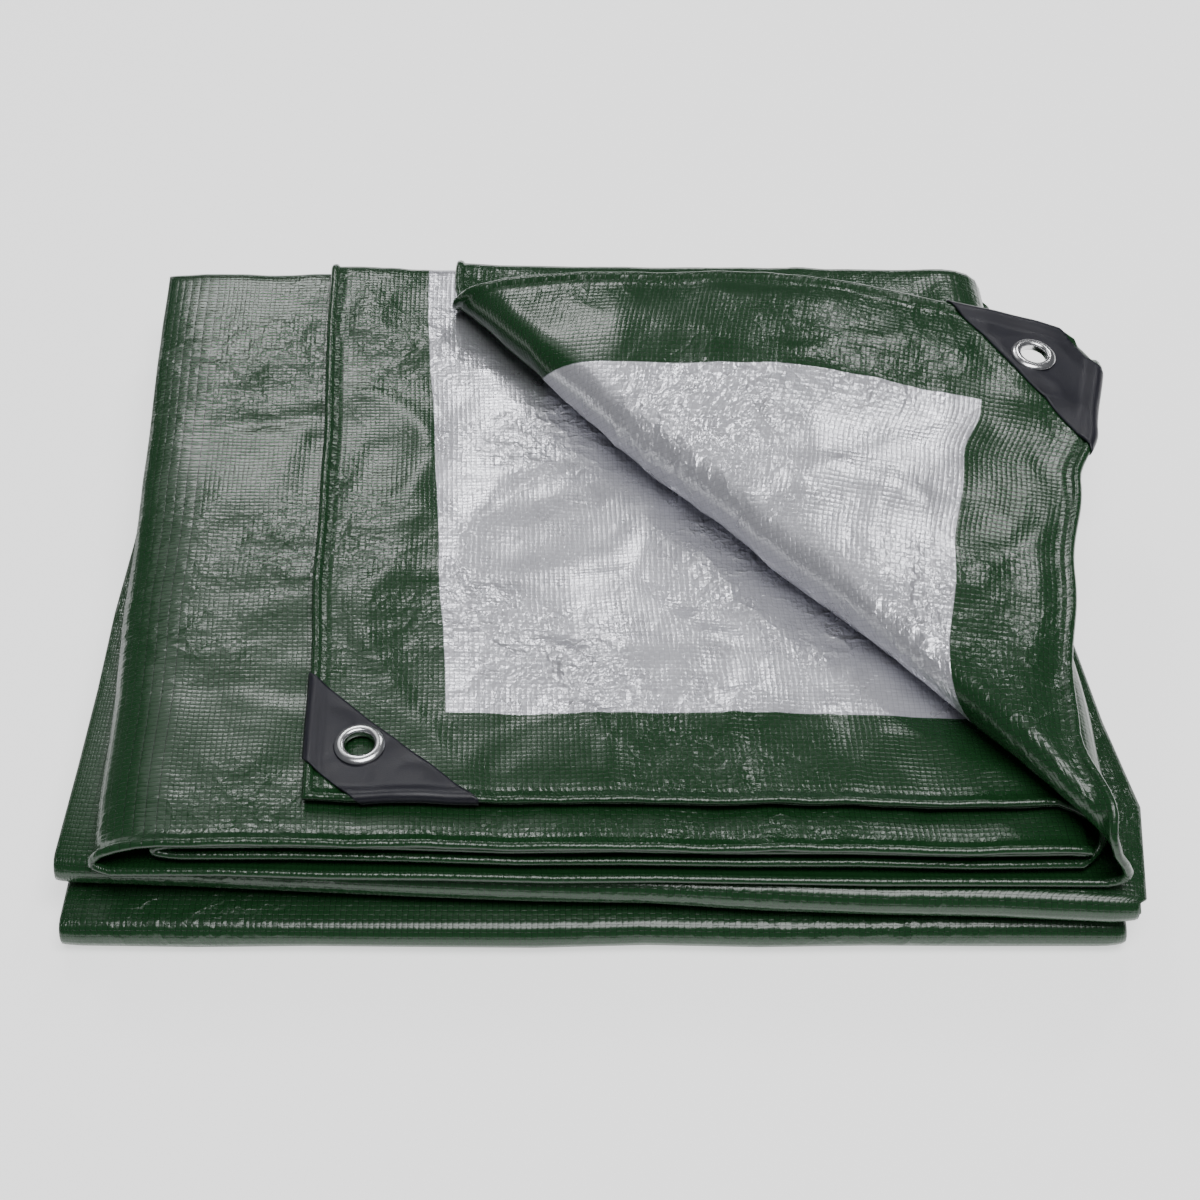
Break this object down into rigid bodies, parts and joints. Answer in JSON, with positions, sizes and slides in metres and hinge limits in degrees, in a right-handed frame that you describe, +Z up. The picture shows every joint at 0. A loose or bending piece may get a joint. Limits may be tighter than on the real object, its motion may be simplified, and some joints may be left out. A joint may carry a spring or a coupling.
{
  "type": "folded tarp",
  "caption": "Woven plastic tarpaulin, green and silver, folded into a flat pack with one hemmed corner turned back and eyelets in black corner patches.",
  "frame": {"origin": "middle of the whole object's box at floor height, under the pack", "axes": "+X along the pack's long side, to the side over which the turned-back corner hangs; +Y from the hemmed front edges to the back fold; +Z up"},
  "size_m": [0.489, 0.407, 0.0916],
  "materials": {
    "green_tarpaulin": "glossy woven plastic film, dark green outside, silver inside",
    "black_patch": "smooth satin black plastic",
    "eyelet_metal": "polished, with a rolled rim"
  },
  "bodies": {
    "root": {"tarp_cloth": "green_tarpaulin", "corner_patch_front": "black_patch", "corner_patch_flap": "black_patch", "eyelet_front": "eyelet_metal", "eyelet_flap": "eyelet_metal"}
  },
  "joints": []
}
